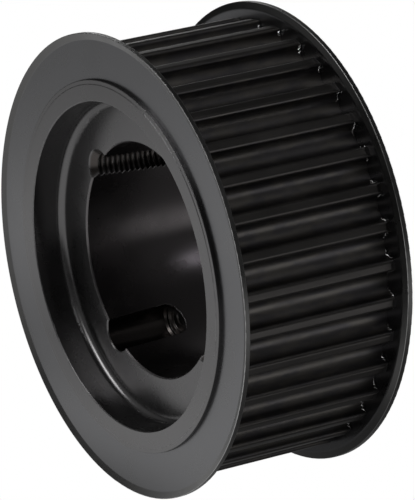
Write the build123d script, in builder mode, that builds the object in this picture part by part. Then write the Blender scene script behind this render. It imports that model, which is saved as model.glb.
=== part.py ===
from build123d import *

import os
from math import cos, hypot, pi, radians, sin, sqrt, tan

# Timing belt pulley for a 14 mm pitch round-tooth belt: a toothed iron body with a tapered bore that
# takes a clamping bush, and a pressed steel flange rolled onto each end to keep the belt on.
# The axis is +Y, the front face looks along -Y, +Z is up and the origin is the pulley's centre.

# Teeth
TOOTH_COUNT = 36
BELT_PITCH = 14.0
PITCH_LINE_GAP = 1.397  # the belt's pitch line lies this far outside the tooth tips
TOOTH_LENGTH = 63.1
GROOVE_DEPTH = 6.0
GROOVE_RADIUS = 4.65
TOOTH_TIP_RADIUS = 1.3
TOOTH_END_BEVEL = 2.0  # the tips are turned down a little towards each end
TOOTH_END_DROP = 0.6
FIRST_TOOTH_ANGLE = 9.5
TIP_RADIUS = TOOTH_COUNT * BELT_PITCH / (2 * pi) - PITCH_LINE_GAP

# Body
BODY_WIDTH = 70.0
SPIGOT_RADIUS = 67.6  # the flanges sit on this step, against the ends of the teeth
SPIGOT_EDGE_RADIUS = 0.2
LIP_RADIUS = 65.9  # outside this the spigot's end was rolled over the flange, and lies a little lower
LIP_DROP = 0.15
RECESS_RADIUS = 59.7
RECESS_FILLET = 3.2
RECESS_EDGE_CHAMFER = 0.3

# Tapered bore, wide at the front
HUB_LENGTH = 44.5
BORE_MOUTH_RADIUS = 42.86
BORE_HALF_ANGLE = 4.0
BORE_EDGE_BEVEL = 0.5
CORE_RADIUS = 30.0  # the cast hole that the bore is turned from
BORE_END_RADIUS = BORE_MOUTH_RADIUS - HUB_LENGTH * tan(radians(BORE_HALF_ANGLE))

# Half-holes in the bore wall: a tapped one on each side for the clamping screws, and between them a
# plain blind one, for the screw that pushes the bush out again
HALF_HOLE_CIRCLE_RADIUS = 41.275
PUSH_HOLE_ANGLE = 238.5
SCREW_HOLE_SPACING = 94.5
SCREW_HOLE_ANGLES = (PUSH_HOLE_ANGLE - SCREW_HOLE_SPACING, PUSH_HOLE_ANGLE + SCREW_HOLE_SPACING)
THREAD_PITCH = 25.4 / 12
THREAD_MAJOR_RADIUS = 6.35
THREAD_MINOR_RADIUS = 5.05
THREAD_ROOT_WIDTH = 0.3
COUNTERSINK_RADIUS = 7.4
PUSH_HOLE_RADIUS = 7.0
PUSH_HOLE_DEPTH = 24.0
PUSH_HOLE_EDGE_BEVEL = 0.4
RUN_OUT_DEPTH = 4.0  # the domed end of the plain hole, ringed by the tool that ran out there
RUN_OUT_RINGS = 4
RUN_OUT_RING_HEIGHT = 0.28

# Flanges
FLANGE_RADIUS = 84.3
FLANGE_SHEET = 1.9
FLANGE_FIT_GAP = 0.02
FLANGE_BEND_RADIUS = 81.7
FLANGE_BEND_RISE = 1.05
FLANGE_EDGE_FILLET = 0.2
FLANGE_INNER_BEND_FILLET = 0.4
FLANGE_OUTER_BEND_FILLET = 2.2

OVERRUN = 1.0  # how far a cut starts outside the face it goes into
HALF_WIDTH = BODY_WIDTH / 2
HALF_TEETH = TOOTH_LENGTH / 2
HALF_HUB = HUB_LENGTH / 2
CLOSE = 1e-4  # how near a corner must be to where it is looked for


def corners_at(sketch, radius, height):
    """The corners of a half section at a radius and at a height on both sides of the middle."""
    return [v for v in sketch.vertices() if hypot(v.X - radius, abs(v.Y) - height) < CLOSE]


def body_section():
    """The body's half section before its bore is turned, x outwards and y along the axis."""
    front_half = [
        (CORE_RADIUS, -HALF_HUB),
        (RECESS_RADIUS, -HALF_HUB),
        (RECESS_RADIUS, -HALF_WIDTH),
        (LIP_RADIUS, -HALF_WIDTH),
        (LIP_RADIUS + LIP_DROP, LIP_DROP - HALF_WIDTH),
        (SPIGOT_RADIUS, LIP_DROP - HALF_WIDTH),
        (SPIGOT_RADIUS, -HALF_TEETH),
        (TIP_RADIUS - TOOTH_END_DROP, -HALF_TEETH),
        (TIP_RADIUS, TOOTH_END_BEVEL - HALF_TEETH),
    ]
    rear_half = [(radius, -height) for radius, height in reversed(front_half)]
    with BuildSketch(Plane.XY) as section:
        with BuildLine():
            Polyline(*front_half, *rear_half, close=True)
        make_face()
        fillet(corners_at(section, RECESS_RADIUS, HALF_HUB), RECESS_FILLET)
        fillet(corners_at(section, SPIGOT_RADIUS, HALF_WIDTH - LIP_DROP), SPIGOT_EDGE_RADIUS)
        chamfer(corners_at(section, RECESS_RADIUS, HALF_WIDTH), RECESS_EDGE_CHAMFER)
    return section.sketch


def groove_outline():
    """One belt groove, open towards local +Y: a round bottom that rolls over into the tooth tips."""
    bottom_y = TIP_RADIUS - GROOVE_DEPTH + GROOVE_RADIUS
    corner_reach = TIP_RADIUS - TOOTH_TIP_RADIUS
    apart = GROOVE_RADIUS + TOOTH_TIP_RADIUS
    corner_y = (corner_reach**2 - apart**2 + bottom_y**2) / (2 * bottom_y)
    corner_x = sqrt(corner_reach**2 - corner_y**2)
    bottom = Vector(0, bottom_y)
    corner = Vector(corner_x, corner_y)
    inner = bottom + (corner - bottom) * (GROOVE_RADIUS / apart)
    outer = corner * (TIP_RADIUS / corner_reach)
    crown = corner + ((inner + outer) * 0.5 - corner).normalized() * TOOTH_TIP_RADIUS
    above = Vector(outer.X, TIP_RADIUS + OVERRUN)
    lowest = Vector(0, TIP_RADIUS - GROOVE_DEPTH)
    with BuildSketch(Plane.XY) as groove:
        with BuildLine():
            ThreePointArc(lowest, bottom + (inner - bottom).rotate(Axis.Z, -45), inner)
            ThreePointArc(inner, crown, outer)
            Polyline(outer, above, Vector(0, above.Y))
            mirror(about=Plane.YZ)
        make_face()
    return groove.sketch


def bore_points():
    """Half the section of the tapered bore, with a bevel at each end."""
    slope = tan(radians(BORE_HALF_ANGLE))
    bevel = BORE_EDGE_BEVEL
    return [
        (0, -HALF_HUB - OVERRUN),
        (BORE_MOUTH_RADIUS + bevel + OVERRUN, -HALF_HUB - OVERRUN),
        (BORE_MOUTH_RADIUS + bevel, -HALF_HUB),
        (BORE_MOUTH_RADIUS - bevel * slope, -HALF_HUB + bevel),
        (BORE_END_RADIUS + bevel * slope, HALF_HUB - bevel),
        (BORE_END_RADIUS + bevel, HALF_HUB),
        (BORE_END_RADIUS + bevel + OVERRUN, HALF_HUB + OVERRUN),
        (0, HALF_HUB + OVERRUN),
    ]


def tapped_points():
    """Half the section of a tapped hole with a countersunk mouth, right through the hub."""
    depth = COUNTERSINK_RADIUS - THREAD_MINOR_RADIUS
    flank = (THREAD_PITCH - THREAD_ROOT_WIDTH) / 2
    points = [
        (0, -OVERRUN),
        (COUNTERSINK_RADIUS + OVERRUN, -OVERRUN),
        (THREAD_MINOR_RADIUS, depth),
    ]
    while depth < HUB_LENGTH:
        points.append((THREAD_MAJOR_RADIUS, depth + flank))
        points.append((THREAD_MAJOR_RADIUS, depth + flank + THREAD_ROOT_WIDTH))
        depth += THREAD_PITCH
        points.append((THREAD_MINOR_RADIUS, depth))
    points.append((0, depth))
    return points


def push_hole_points():
    """Half the section of the plain hole: a bevelled mouth, a bore and a ringed, domed end."""
    points = [
        (0, -OVERRUN),
        (PUSH_HOLE_RADIUS + PUSH_HOLE_EDGE_BEVEL + OVERRUN, -OVERRUN),
        (PUSH_HOLE_RADIUS, PUSH_HOLE_EDGE_BEVEL),
        (PUSH_HOLE_RADIUS, PUSH_HOLE_DEPTH),
    ]
    steps = 2 * RUN_OUT_RINGS
    for step in range(1, steps):
        turn = radians(90 * step / steps)
        ring = RUN_OUT_RING_HEIGHT * (-1) ** step
        radius = (PUSH_HOLE_RADIUS - RUN_OUT_RING_HEIGHT) * cos(turn) + ring
        points.append((radius, PUSH_HOLE_DEPTH + RUN_OUT_DEPTH * sin(turn)))
    points.append((0, points[-1][1]))
    return points


def half_hole(angle, points):
    """A turned cutter for a half-hole, on its own axis at that angle round the bore."""
    x = HALF_HOLE_CIRCLE_RADIUS * cos(radians(angle))
    z = HALF_HOLE_CIRCLE_RADIUS * sin(radians(angle))
    plane = Plane(origin=(x, -HALF_HUB, z), x_dir=(1, 0, 0), z_dir=(0, 0, 1))
    with BuildPart() as cutter:
        with BuildSketch(plane):
            with BuildLine():
                Polyline(*points, close=True)
            make_face()
        revolve(axis=Axis(plane.origin, (0, 1, 0)))
    return cutter.part


def flange_section(side):
    """A flange's half section: a flat ring whose outer edge is bent away from the belt."""
    inner = SPIGOT_RADIUS + FLANGE_FIT_GAP
    seat = side * HALF_TEETH
    face = side * (HALF_TEETH + FLANGE_SHEET)
    rise = side * FLANGE_BEND_RISE
    with BuildSketch(Plane.XY) as section:
        with BuildLine():
            Polyline(
                (inner, seat),
                (FLANGE_BEND_RADIUS, seat),
                (FLANGE_RADIUS, seat + rise),
                (FLANGE_RADIUS, face + rise),
                (FLANGE_BEND_RADIUS, face),
                (inner, face),
                close=True,
            )
        make_face()
        fillet(corners_at(section, FLANGE_BEND_RADIUS, HALF_TEETH), FLANGE_OUTER_BEND_FILLET)
        fillet(corners_at(section, FLANGE_BEND_RADIUS, abs(face)), FLANGE_INNER_BEND_FILLET)
        edge = [v for v in section.vertices() if abs(v.X - FLANGE_RADIUS) < CLOSE]
        fillet(edge, FLANGE_EDGE_FILLET)
    return section.sketch


turned_body = body_section()
belt_groove = groove_outline()
screw_holes = [half_hole(angle, tapped_points()) for angle in SCREW_HOLE_ANGLES]
push_hole = half_hole(PUSH_HOLE_ANGLE, push_hole_points())
first_groove_angle = FIRST_TOOTH_ANGLE + 180 / TOOTH_COUNT - 90

with BuildPart() as pulley_body:
    with BuildSketch(Plane.XY):
        add(turned_body)
    revolve(axis=Axis.Y)
    with BuildSketch(Plane.XZ):
        with PolarLocations(0, TOOTH_COUNT, start_angle=first_groove_angle):
            add(belt_groove)
    extrude(amount=HALF_TEETH + OVERRUN, both=True, mode=Mode.SUBTRACT)
    add(screw_holes, mode=Mode.SUBTRACT)
    add(push_hole, mode=Mode.SUBTRACT)
    with BuildSketch(Plane.XY):
        with BuildLine():
            Polyline(*bore_points(), close=True)
        make_face()
    revolve(axis=Axis.Y, mode=Mode.SUBTRACT)
pulley_body.part.label = "pulley_body"

front_profile = flange_section(-1)
rear_profile = flange_section(1)

with BuildPart() as front_flange:
    with BuildSketch(Plane.XY):
        add(front_profile)
    revolve(axis=Axis.Y)
front_flange.part.label = "front_flange"

with BuildPart() as rear_flange:
    with BuildSketch(Plane.XY):
        add(rear_profile)
    revolve(axis=Axis.Y)
rear_flange.part.label = "rear_flange"

os.makedirs("parts", exist_ok=True)
for piece in (pulley_body, front_flange, rear_flange):
    export_step(piece.part, f"parts/{piece.part.label}.step")
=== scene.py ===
from math import cos, radians, sin
from random import Random

import bpy
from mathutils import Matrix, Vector


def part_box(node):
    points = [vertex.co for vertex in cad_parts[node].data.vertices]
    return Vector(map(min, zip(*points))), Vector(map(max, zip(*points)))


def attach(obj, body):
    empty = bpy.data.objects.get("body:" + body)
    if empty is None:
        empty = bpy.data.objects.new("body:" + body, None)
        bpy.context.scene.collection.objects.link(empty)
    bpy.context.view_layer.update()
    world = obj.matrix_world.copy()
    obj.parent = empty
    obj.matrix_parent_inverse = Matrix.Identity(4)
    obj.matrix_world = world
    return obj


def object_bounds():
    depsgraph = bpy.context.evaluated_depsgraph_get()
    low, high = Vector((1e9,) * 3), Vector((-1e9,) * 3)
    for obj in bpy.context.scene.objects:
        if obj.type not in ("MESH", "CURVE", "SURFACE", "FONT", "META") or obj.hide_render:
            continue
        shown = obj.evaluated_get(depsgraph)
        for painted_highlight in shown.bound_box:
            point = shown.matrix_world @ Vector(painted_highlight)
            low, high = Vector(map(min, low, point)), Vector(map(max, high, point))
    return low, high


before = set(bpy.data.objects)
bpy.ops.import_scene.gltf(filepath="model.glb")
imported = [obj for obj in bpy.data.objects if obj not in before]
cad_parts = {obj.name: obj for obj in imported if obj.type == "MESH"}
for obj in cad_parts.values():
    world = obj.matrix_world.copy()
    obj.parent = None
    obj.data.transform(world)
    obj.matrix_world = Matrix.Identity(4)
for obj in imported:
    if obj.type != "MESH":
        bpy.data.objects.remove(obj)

cad_low, cad_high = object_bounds()
MM = 0.001


# ---------------------------------------------------------------- helpers
def add_object(name, data):
    """A new object in the scene."""
    added = bpy.data.objects.new(name, data)
    bpy.context.scene.collection.objects.link(added)
    return added


def towards(azimuth, elevation):
    """A direction, with its azimuth in degrees from +X towards +Y."""
    turn = radians(azimuth)
    lift = radians(elevation)
    return Vector((cos(turn) * cos(lift), sin(turn) * cos(lift), sin(lift)))


def face(holder, direction):
    """Turn a light or a camera to look against a direction."""
    holder.rotation_euler = (-direction).to_track_quat("-Z", "Y").to_euler()


class Nodes:
    """A short way to write a node tree: every value is a number, a tuple or another node's output."""

    def __init__(self, tree):
        self.tree = tree

    def add(self, kind, output=0, settings=None, **values):
        """A new node's output. Values go to sockets by name, with _ for a space, or by number as i0."""
        made = self.tree.nodes.new(kind)
        for name, value in (settings or {}).items():
            setattr(made, name, value)
        for name, value in values.items():
            key = int(name[1:]) if name[0] == "i" and name[1:].isdigit() else name.replace("_", " ")
            self.feed(made.inputs[key], value)
        return made.outputs[output]

    def feed(self, socket, value):
        if isinstance(value, bpy.types.NodeSocket):
            self.tree.links.new(value, socket)
        else:
            socket.default_value = value

    def math(self, operation, first, second=0.0, clamp=False):
        settings = {"operation": operation, "use_clamp": clamp}
        return self.add("ShaderNodeMath", settings=settings, i0=first, i1=second)

    def times(self, first, second):
        return self.math("MULTIPLY", first, second)

    def ramp(self, value, low, high, to_low=0.0, to_high=1.0):
        return self.add(
            "ShaderNodeMapRange",
            settings={"interpolation_type": "SMOOTHSTEP"},
            Value=value,
            From_Min=low,
            From_Max=high,
            To_Min=to_low,
            To_Max=to_high,
        )

    def noise(self, vector, scale, detail=2.0, roughness=0.5):
        return self.add(
            "ShaderNodeTexNoise", Vector=vector, Scale=scale, Detail=detail, Roughness=roughness
        )

    def vector(self, x, y, z):
        return self.add("ShaderNodeCombineXYZ", X=x, Y=y, Z=z)

    def split(self, vector):
        parts = self.tree.nodes.new("ShaderNodeSeparateXYZ")
        self.feed(parts.inputs[0], vector)
        return tuple(parts.outputs)

    def dot(self, first, second):
        settings = {"operation": "DOT_PRODUCT"}
        return self.add("ShaderNodeVectorMath", "Value", settings, i0=first, i1=second)

    def blend(self, share, first, second):
        settings = {"data_type": "RGBA"}
        return self.add("ShaderNodeMix", "Result", settings, Factor=share, A=first, B=second)


def new_material(name):
    """A material, the helper for its nodes, and its shader."""
    material = bpy.data.materials.new(name)
    material.use_nodes = True
    tree = material.node_tree
    return material, Nodes(tree), tree.nodes["Principled BSDF"]


def grey(level, warmth=0.0, violet=0.0):
    """A near-neutral colour: warmth raises red and lowers blue by that share, violet lowers green."""
    return (level * (1 + warmth), level * (1 - violet), level * (1 - warmth), 1.0)


# ---------------------------------------------------------------- metals
# Zones of the turned parts, in mm from the axis: each begins at its first number and is full at its
# second. The hub's is measured from the middle of the length, and the right half's towards +X.
TEETH = (69.0, 71.0)
LANDS = (78.2, 78.6)
BORE = (43.6, 42.6)
HUB = (22.2, 21.6)
INSIDE_HOLES = (51.0, 50.0)
OUTSIDE_BORE = (43.0, 44.0)
BENT_RIM = (81.4, 82.1)
# The flanges' rim outer edge between these radii gets a painted highlight, on the right half only.
RIM_HIGHLIGHT_FROM = (84.02, 84.07)
RIM_HIGHLIGHT_TO = (84.24, 84.18)
RIGHT_HALF = (-30.0, 30.0)
AROUND_RADIUS = 78.8  # where a distance round the part is true, in mm from the axis

# Tones: a share of the metal's reflectance, then warmth and violet.
PALE_STAIN = (0.92, 0.06, 0.0)
DARK_STAIN = (0.74, 0.0, 0.04)
LAND_TONE = (0.5, 0.04, 0.01)
# The bore's tone is a little darker as painted shade inside the bore, with its own warm violet tint.
BORE_TONE = (0.9, 0.03, 0.05)
HOLE_TONE = (0.5, 0.08, 0.03)
BENT_RIM_TONE = (0.7, 0.01, 0.0)
# The lighter tone of worn edges, also laid on the flanges' rim as a painted highlight.
RUBBED_AND_HIGHLIGHT = grey(0.5)
RUBBED_AND_HIGHLIGHT_SHARE = 0.6
PATCH_CONTRAST = 0.16

# Patterns: the scale of each noise, per metre, or per mm where it is laid out in mm. The rings drift
# a little round the axis, and the streaks and stains are drawn out along it.
PATCH_SCALE = 45.0
GRAIN_SCALE = 1900.0
RUB_SCALE = 700.0
TORN_SCALE = 420.0
RING_SCALE = 3.0
RING_DRIFT = 0.4
STREAK_SCALE = 2.2
STREAK_STRETCH = 0.05
STAIN_SCALE = 0.35
STAIN_STRETCH = 0.35

EDGE_WEAR = 0.25 * MM
BUMP_HEIGHT = 0.02 * MM
BUMP_STRENGTH = 0.22
TEETH_ROUGHNESS = 0.1


class Surface:
    """Where a point of a turned part lies: millimetres from the axis, along it, and round it."""

    def __init__(self, n):
        self.point = n.add("ShaderNodeTexCoord", "Object")
        x, y, z = n.split(self.point)
        squares = n.math("ADD", n.times(x, x), n.times(z, z))
        self.radius = n.math("DIVIDE", n.math("SQRT", squares), MM)
        self.across = n.math("DIVIDE", x, MM)
        self.along = n.math("DIVIDE", y, MM)
        self.end = n.math("ABSOLUTE", self.along)
        self.angle = n.math("ARCTAN2", z, x)
        self.around = n.times(self.angle, AROUND_RADIUS)


def worn_edges(n, reach):
    """The normal as rounded over edges, and a mask that is 1 on an edge, within about that reach."""
    rounded = n.add("ShaderNodeBevel", settings={"samples": 4}, Radius=reach)
    flat = n.add("ShaderNodeNewGeometry", "Normal")
    return rounded, n.ramp(n.dot(rounded, flat), 0.97, 0.80)


class BlackenedMetal:
    """Blackened machined metal: turned rings, duller and brighter patches, and edges worn bright."""

    def __init__(self, name, reflectance, roughness, tint):
        material, n, shader = new_material(name)
        at = Surface(n)
        self.material = material
        self.n = n
        self.shader = shader
        self.at = at
        self.reflectance = reflectance

        rings = n.vector(at.radius, at.along, n.times(at.angle, RING_DRIFT))
        rings = n.noise(rings, RING_SCALE, detail=3.0)
        self.grain = n.noise(at.point, GRAIN_SCALE)
        self.height = n.math("ADD", n.times(rings, 0.6), n.times(self.grain, 0.4))

        patches = n.noise(at.point, PATCH_SCALE, detail=4.0, roughness=0.6)
        dull = self.shade(1 - PATCH_CONTRAST, tint, 0.01)
        bright = self.shade(1 + PATCH_CONTRAST, tint - 0.03, 0.02)
        self.tone = n.blend(patches, dull, bright)
        self.rough = n.ramp(patches, 0.25, 0.75, roughness - 0.05, roughness + 0.06)

        self.normal, edges = worn_edges(n, EDGE_WEAR)
        rubs = n.ramp(n.noise(at.point, RUB_SCALE, detail=3.0), 0.35, 0.6)
        self.rubs_and_highlight = n.math("MULTIPLY", edges, rubs, clamp=True)

    def shade(self, share, warmth, violet):
        """A colour at a share of the metal's reflectance."""
        return grey(self.reflectance * share, warmth, violet)

    def paint(self, mask, tone):
        """Give one of the tones to where a mask is 1."""
        self.tone = self.n.blend(mask, self.tone, self.shade(*tone))

    def finish(self):
        """Connect everything to the shader."""
        n = self.n
        inputs = self.shader.inputs
        bump = n.add(
            "ShaderNodeBump",
            Strength=BUMP_STRENGTH,
            Distance=BUMP_HEIGHT,
            Height=self.height,
            Normal=self.normal,
        )
        n.feed(inputs["Normal"], bump)
        n.feed(inputs["Metallic"], 1.0)
        n.feed(inputs["Roughness"], self.rough)
        # Worn edges, and on the flanges the painted highlight, take the lighter tone.
        n.feed(inputs["Base Color"], n.blend(n.times(self.rubs_and_highlight, RUBBED_AND_HIGHLIGHT_SHARE), self.tone, RUBBED_AND_HIGHLIGHT))
        return self.material


def blackened_iron():
    """The body's metal: streaked and stained on the teeth, darker on their lands and in the holes."""
    metal = BlackenedMetal("blackened_iron", reflectance=0.10, roughness=0.27, tint=0.02)
    n = metal.n
    at = metal.at
    on_teeth = n.ramp(at.radius, *TEETH)
    streaks = n.vector(at.around, n.times(at.along, STREAK_STRETCH), at.radius)
    streaks = n.noise(streaks, STREAK_SCALE, detail=4.0)
    worked = n.math("ADD", n.times(streaks, 0.7), n.times(metal.grain, 0.5))
    metal.height = n.add("ShaderNodeMix", Factor=on_teeth, A=metal.height, B=worked)
    metal.rough = n.math("ADD", metal.rough, n.times(on_teeth, TEETH_ROUGHNESS))

    stains = n.vector(at.around, n.times(at.along, STAIN_STRETCH), at.radius)
    stains = n.ramp(n.noise(stains, STAIN_SCALE, detail=3.0), 0.38, 0.62)
    stained = n.blend(stains, metal.shade(*PALE_STAIN), metal.shade(*DARK_STAIN))
    metal.tone = n.blend(on_teeth, metal.tone, stained)
    metal.paint(n.ramp(at.radius, *LANDS), LAND_TONE)
    # Painted shade: the bore made a little darker, and tinted violet.
    metal.paint(n.ramp(at.radius, *BORE), BORE_TONE)
    in_hub = n.times(n.ramp(at.end, *HUB), n.ramp(at.radius, *INSIDE_HOLES))
    metal.paint(n.times(in_hub, n.ramp(at.radius, *OUTSIDE_BORE)), HOLE_TONE)
    return metal.finish()


def blackened_steel():
    """The flanges' metal: darker on the bent rim, and with a painted highlight along the right of its
    edge.
    """
    metal = BlackenedMetal("blackened_steel", reflectance=0.11, roughness=0.29, tint=0.0)
    n = metal.n
    at = metal.at
    metal.paint(n.ramp(at.radius, *BENT_RIM), BENT_RIM_TONE)
    # Painted highlight: the rim's outer edge made lighter on the right half only, in the worn edges'
    # tone.
    painted_highlight = n.times(n.ramp(at.radius, *RIM_HIGHLIGHT_FROM), n.ramp(at.radius, *RIM_HIGHLIGHT_TO))
    painted_highlight = n.times(painted_highlight, n.ramp(at.across, *RIGHT_HALF))
    metal.rubs_and_highlight = n.math("MAXIMUM", metal.rubs_and_highlight, painted_highlight)
    return metal.finish()


def torn_iron():
    """Freshly torn iron, bright in places where the blackening has gone."""
    material, n, shader = new_material("torn_iron")
    spots = n.noise(n.add("ShaderNodeTexCoord", "Object"), TORN_SCALE, detail=3.0)
    n.feed(shader.inputs["Metallic"], 1.0)
    n.feed(shader.inputs["Roughness"], n.ramp(spots, 0.3, 0.7, 0.5, 0.3))
    n.feed(shader.inputs["Base Color"], n.blend(n.ramp(spots, 0.42, 0.55), grey(0.15, 0.04), grey(0.95)))
    return material


iron = blackened_iron()
steel = blackened_steel()
for node, material in (("pulley_body", iron), ("front_flange", steel), ("rear_flange", steel)):
    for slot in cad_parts[node].material_slots:
        slot.material = material


# ---------------------------------------------------------------- burrs at the ends of the grooves
TIP_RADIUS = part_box("pulley_body")[1].x
GROOVES = 36
GROOVE_RADIUS = 4.65 * MM
GROOVE_CENTRE_DEPTH = 1.35 * MM
GROOVE_CENTRE = TIP_RADIUS - GROOVE_CENTRE_DEPTH
FLANGE_SEAT = 31.55 * MM
FIRST_GROOVE = 1.45  # in steps of one tooth
BURR_POINTS = 9
BURR_START = (20, 65)  # degrees round the wall from the groove's bottom
BURR_END = (80, 98)
BURR_WANDER = (-3, 3)
BURR_LIFT = (0.0, 0.35)  # mm off the groove's wall
BURR_INSET = (0.2, 1.1)  # mm from the flange
BURR_THICKNESS = (0.08, 0.2)


def burr_path(rng, groove, side, low, high):
    """A wavy line round the wall of a groove, between two angles from its bottom."""
    turn = radians(groove * 360 / GROOVES)
    path = []
    for step in range(BURR_POINTS):
        angle = radians(low + (high - low) * step / (BURR_POINTS - 1) + rng.uniform(*BURR_WANDER))
        reach = GROOVE_RADIUS - rng.uniform(*BURR_LIFT) * MM
        out = GROOVE_CENTRE - reach * cos(angle)
        across = reach * sin(angle)
        along = side * (FLANGE_SEAT - rng.uniform(*BURR_INSET) * MM)
        x = out * cos(turn) - across * sin(turn)
        z = out * sin(turn) + across * cos(turn)
        path.append(Vector((x, along, z)))
    return path


def add_burr(verts, faces, path, thickness):
    """A closed four-sided thread of metal along a path, thinner at its ends."""
    first = len(verts)
    last = len(path) - 1
    for index, place in enumerate(path):
        ahead = (path[min(index + 1, last)] - path[max(index - 1, 0)]).normalized()
        one = ahead.cross(Vector((0, 1, 0))).normalized()
        two = ahead.cross(one)
        half = thickness * (1.0 if 0 < index < last else 0.3)
        verts += [place + one * half, place + two * half, place - one * half, place - two * half]
    for index in range(last):
        start = first + 4 * index
        for side in range(4):
            after = (side + 1) % 4
            faces.append((start + side, start + after, start + 4 + after, start + 4 + side))
    faces.append((first + 3, first + 2, first + 1, first))
    end = first + 4 * last
    faces.append((end, end + 1, end + 2, end + 3))


def make_burrs():
    """The torn threads of metal that the cutter left where the grooves meet the flanges."""
    rng = Random(11)
    verts = []
    faces = []
    for groove in range(GROOVES):
        for side in (-1, 1):
            for wall in (-1, 1):
                low = rng.uniform(*BURR_START)
                high = rng.uniform(*BURR_END)
                path = burr_path(rng, groove + FIRST_GROOVE, side, wall * low, wall * high)
                add_burr(verts, faces, path, rng.uniform(*BURR_THICKNESS) * MM)
    mesh = bpy.data.meshes.new("tooth_end_burrs")
    mesh.from_pydata([tuple(v) for v in verts], [], faces)
    mesh.materials.append(torn_iron())
    burrs = add_object("tooth_end_burrs", mesh)
    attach(burrs, "root")


make_burrs()


# ---------------------------------------------------------------- floor
FLOOR_SIZE = 60.0
FLOOR_DROP = 0.0002
REFLECTED_DROP = 0.0001

# The brightness of the mirrored paper: in front, and what it becomes to the left, behind, far behind
# and far out all round, each over the span named after it, in metres. The back's span slants forward
# at the left.
PAPER_FRONT = 0.96
PAPER_LEFT = 0.54
PAPER_LEFT_SPAN = (-0.40, -0.22)
PAPER_BACK = 0.1
PAPER_BACK_SPAN = (0.02, 0.28)
PAPER_BACK_SLANT = 0.6
PAPER_FAR_BACK = 1.0
PAPER_FAR_BACK_SPAN = (0.45, 1.4)
PAPER_OUTER = 0.12
PAPER_OUTER_SPAN = (0.6, 1.8)

# The round shadow at the front left, and the long shade under the object and behind it. The shade's
# span is in shares of its length and depth.
SHADOW_X = -0.14
SHADOW_Y = -0.08
SHADOW_REACH = 0.12
SHADOW_LIGHT = 0.6
SHADE_X = 0.03
SHADE_Y = 0.06
SHADE_LENGTH = 0.28
SHADE_DEPTH = 0.15
SHADE_SPAN = (0.42, 0.9)
SHADE_LIGHT = 0.17


def make_sheet(name, drop):
    """A wide sheet a little below the object's lowest point."""
    mesh = bpy.data.meshes.new(name)
    half = FLOOR_SIZE / 2
    level = cad_low.z - drop
    mesh.from_pydata(
        [(-half, -half, level), (half, -half, level), (half, half, level), (-half, half, level)],
        [],
        [(0, 1, 2, 3)],
    )
    sheet = add_object(name, mesh)
    material, n, shader = new_material(name)
    shader.inputs["Base Color"].default_value = grey(0.0)
    shader.inputs["Specular IOR Level"].default_value = 0.0
    shader.inputs["Emission Color"].default_value = grey(1.0)
    mesh.materials.append(material)
    return sheet, n, shader


def make_floor():
    """White paper lit from below, so that no shadow shows on it."""
    sheet, _, shader = make_sheet("floor", FLOOR_DROP)
    shader.inputs["Emission Strength"].default_value = 1.0
    sheet.visible_glossy = False
    sheet.visible_shadow = False


def make_reflected_floor():
    """The same paper as the metal mirrors it: lit from the front, and shaded under the object."""
    sheet, n, shader = make_sheet("reflected_floor", REFLECTED_DROP)
    sheet.visible_camera = False
    x, y, _ = n.split(n.add("ShaderNodeTexCoord", "Object"))

    def distance(across, along, from_x=0.0, from_y=0.0):
        aside = n.math("SUBTRACT", across, from_x)
        ahead = n.math("SUBTRACT", along, from_y)
        return n.math("SQRT", n.math("ADD", n.times(aside, aside), n.times(ahead, ahead)))

    back = n.math("SUBTRACT", y, n.times(x, PAPER_BACK_SLANT))
    light = n.ramp(x, *PAPER_LEFT_SPAN, PAPER_LEFT, PAPER_FRONT)
    light = n.times(light, n.ramp(back, *PAPER_BACK_SPAN, 1.0, PAPER_BACK))
    light = n.times(light, n.ramp(distance(x, y), *PAPER_OUTER_SPAN, 1.0, PAPER_OUTER))
    shadow = distance(x, y, SHADOW_X, SHADOW_Y)
    light = n.times(light, n.ramp(shadow, 0.0, SHADOW_REACH, SHADOW_LIGHT, 1.0))
    light = n.math("ADD", light, n.ramp(y, *PAPER_FAR_BACK_SPAN, 0.0, PAPER_FAR_BACK))
    across = n.math("DIVIDE", x, SHADE_LENGTH)
    behind = n.math("DIVIDE", y, SHADE_DEPTH)
    shade = distance(across, behind, SHADE_X / SHADE_LENGTH, SHADE_Y / SHADE_DEPTH)
    light = n.times(light, n.ramp(shade, *SHADE_SPAN, SHADE_LIGHT, 1.0))
    n.feed(shader.inputs["Emission Strength"], light)


make_floor()
make_reflected_floor()


# ---------------------------------------------------------------- world and lights
LIGHT_DISTANCE = 1.2
SPOT_DISTANCE = 0.08
SPOT_SIZE = 0.006
SKY = 0.077
SKY_SPAN = (0.02, 0.2)


def make_world(patches):
    """A dim sky with soft bright patches: azimuth, elevation, spread and reach in degrees, strength."""
    world = bpy.data.worlds.new("studio")
    bpy.context.scene.world = world
    world.use_nodes = True
    n = Nodes(world.node_tree)
    direction = n.add("ShaderNodeTexCoord", "Generated")
    above = n.ramp(n.split(direction)[2], *SKY_SPAN)
    total = n.times(above, SKY)
    for azimuth, elevation, spread, reach, strength in patches:
        facing = n.dot(direction, towards(azimuth, elevation))
        patch = n.ramp(facing, cos(radians(reach)), cos(radians(spread)), 0.0, strength)
        total = n.math("ADD", total, n.times(patch, above))
    background = world.node_tree.nodes["Background"]
    background.inputs["Color"].default_value = grey(1.0)
    n.feed(background.inputs["Strength"], total)


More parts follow.
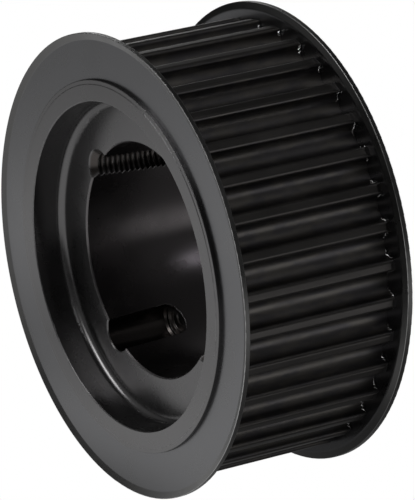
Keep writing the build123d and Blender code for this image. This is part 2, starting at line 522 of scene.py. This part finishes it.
def make_light(name, azimuth, elevation, width, height, power):
    """A soft box that faces the object: its direction in degrees, its size in metres, its watts."""
    lamp = bpy.data.lights.new(name, "AREA")
    lamp.shape = "RECTANGLE"
    lamp.size = width
    lamp.size_y = height
    lamp.energy = power
    holder = add_object(name, lamp)
    direction = towards(azimuth, elevation)
    holder.location = direction * LIGHT_DISTANCE
    face(holder, direction)


def make_spot(name, aim, azimuth, elevation, cone, power, colour):
    """A small lamp that lights only what is round its aim, from a direction and in a cone in degrees."""
    lamp = bpy.data.lights.new(name, "SPOT")
    lamp.energy = power
    lamp.color = colour
    lamp.spot_size = radians(cone)
    lamp.spot_blend = 1.0
    lamp.shadow_soft_size = SPOT_SIZE
    holder = add_object(name, lamp)
    direction = towards(azimuth, elevation)
    holder.location = Vector(aim) + direction * SPOT_DISTANCE
    face(holder, direction)


make_world(
    [
        (0, 20, 15, 45, 0.11),
        (240, 10, 20, 50, 0.21),
        (160, 20, 20, 50, 0.10),
        (90, 10, 15, 45, 0.20),
    ]
)
make_light("key", 252, 51, 0.75, 0.36, 6.0)
make_light("key_right", 290, 50, 0.35, 0.35, 1.1)
make_light("top_right", 0, 58, 0.4, 0.4, 2.2)
make_light("side_left", 165, 25, 0.4, 0.4, 2.6)
make_spot("bore_spot", (-0.035, 0.0212, -0.018), 25, 30, 13, 0.009, (0.94, 0.92, 1.0))


# ---------------------------------------------------------------- camera
CAMERA_AZIMUTH = -31.9992
CAMERA_ELEVATION = 21.2085
CAMERA_DISTANCE = 1.65246
CAMERA_TARGET = Vector((0.00144, 0.00195, -0.000485))
CAMERA_LENS = 331.75


def make_camera():
    """The camera at the photograph's viewing angle."""
    camera_data = bpy.data.cameras.new("camera")
    camera_data.sensor_width = 36.0
    camera_data.lens = CAMERA_LENS
    camera_data.clip_start = 0.1
    camera_data.clip_end = 200.0
    camera = add_object("camera", camera_data)
    direction = towards(CAMERA_AZIMUTH, CAMERA_ELEVATION)
    camera.location = CAMERA_TARGET + direction * CAMERA_DISTANCE
    face(camera, direction)
    bpy.context.scene.camera = camera


make_camera()
bpy.context.scene.view_settings.view_transform = "Standard"
